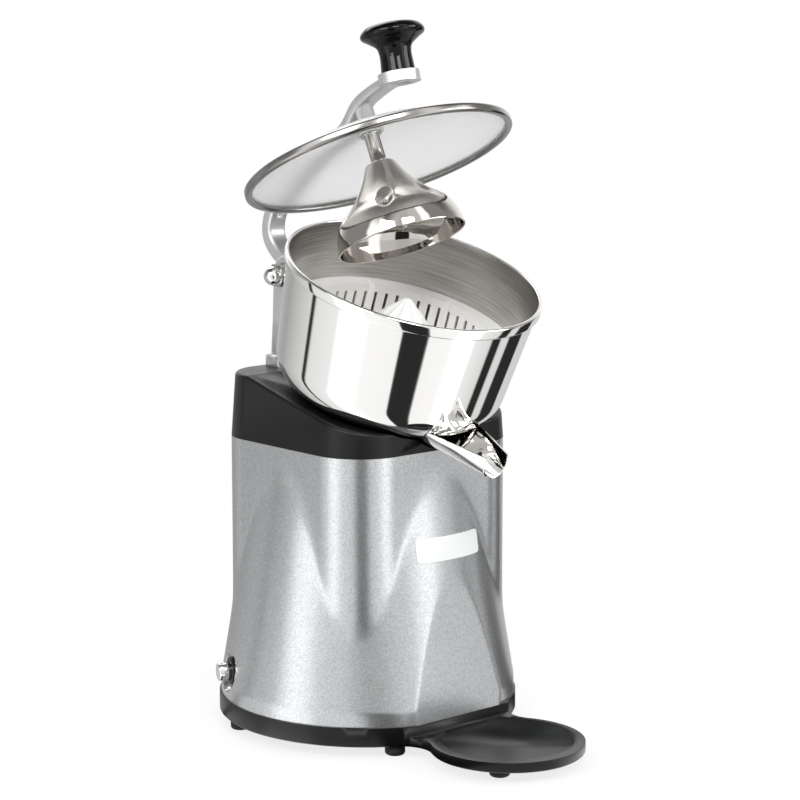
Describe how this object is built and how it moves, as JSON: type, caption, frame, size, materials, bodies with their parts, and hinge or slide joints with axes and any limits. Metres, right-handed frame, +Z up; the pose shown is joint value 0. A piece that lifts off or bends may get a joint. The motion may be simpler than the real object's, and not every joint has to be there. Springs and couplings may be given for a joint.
{
  "type": "electric citrus juicer",
  "caption": "Upright electric citrus juicer with a lever press, glass lid, tilted steel bowl with strainer and ribbed reamer, spout and drip tray.",
  "frame": {"origin": "on the floor, under the middle of the outline", "axes": "+Z up, the spout and drip tray towards -Y, the push button on the -X side near the back"},
  "size_m": [0.235, 0.341, 0.5486],
  "materials": {
    "silver_paint": "speckled silver metallic paint",
    "black_plastic": "satin black moulding",
    "black_gloss": "polished black",
    "rubber": "matt black",
    "polished_steel": "polished stainless steel",
    "white_plastic": "satin white",
    "cast_aluminium": "tumbled casting",
    "steel": "turned steel",
    "laminations": "varnished laminations",
    "copper": "enamelled winding",
    "bronze": "sintered bronze",
    "capacitor_case": "plain case",
    "glass": "clear toughened glass"
  },
  "bodies": {
    "base": {"body_shell": "silver_paint", "base_tray": "black_plastic", "top_collar": "black_plastic", "button_barrel": "black_plastic", "button_nut": "black_plastic", "cable_gland": "black_plastic", "gland_nut": "black_plastic", "switch_block": "black_plastic", "rubber_feet": "rubber", "shaft_seal": "rubber", "bowl": "polished_steel", "spout": "polished_steel", "strainer_basket": "white_plastic", "terminal_block": "white_plastic", "column": "cast_aluminium", "motor_top_shield": "cast_aluminium", "motor_bottom_shield": "cast_aluminium", "hinge_bolt": "steel", "hinge_washers": "steel", "hinge_nut": "steel", "column_screws": "steel", "base_screws": "steel", "collar_screws": "steel", "motor_bolts": "steel", "upper_bearing": "steel", "lower_bearing": "steel", "capacitor_clip": "steel", "stator_core": "laminations", "stator_windings": "copper", "run_capacitor": "capacitor_case"},
    "lever": {"lever_arm": "cast_aluminium", "hinge_bushes": "bronze", "return_spring": "steel", "knob": "black_gloss", "knob_screw": "steel", "press_rod": "steel", "rod_grub_screw": "steel", "press_bell": "polished_steel"},
    "lid": {"lid_pane": "glass", "lid_ring": "polished_steel", "lid_grommet": "rubber"},
    "spindle": {"drive_shaft": "steel", "rotor": "laminations", "cooling_fan": "white_plastic", "reamer_cone": "white_plastic"},
    "button": {"push_button": "polished_steel"}
  },
  "joints": [
    {"name": "lever_hinge", "type": "hinge", "parent": "base", "child": "lever", "pos_m": [0, 0.11066, 0.34997], "axis": [1, 0, 0], "range_deg": [0, 44.6], "stiffness_Nm_per_rad": 0.8, "springref_deg": -85.94},
    {"name": "lid_slide", "type": "slide", "parent": "lever", "child": "lid", "axis": [0, 0.4163, 0.9092], "range_m": [0, 0.002]},
    {"name": "reamer_spin", "type": "hinge", "parent": "base", "child": "spindle", "pos_m": [0, -0.00685, 0.35897], "axis": [0, -0.342, 0.9397], "continuous": true},
    {"name": "button_press", "type": "slide", "parent": "base", "child": "button", "axis": [0.9205, -0.3907, 0], "range_m": [0, 0.003], "stiffness_N_per_m": 500, "springref_m": -0.003}
  ]
}
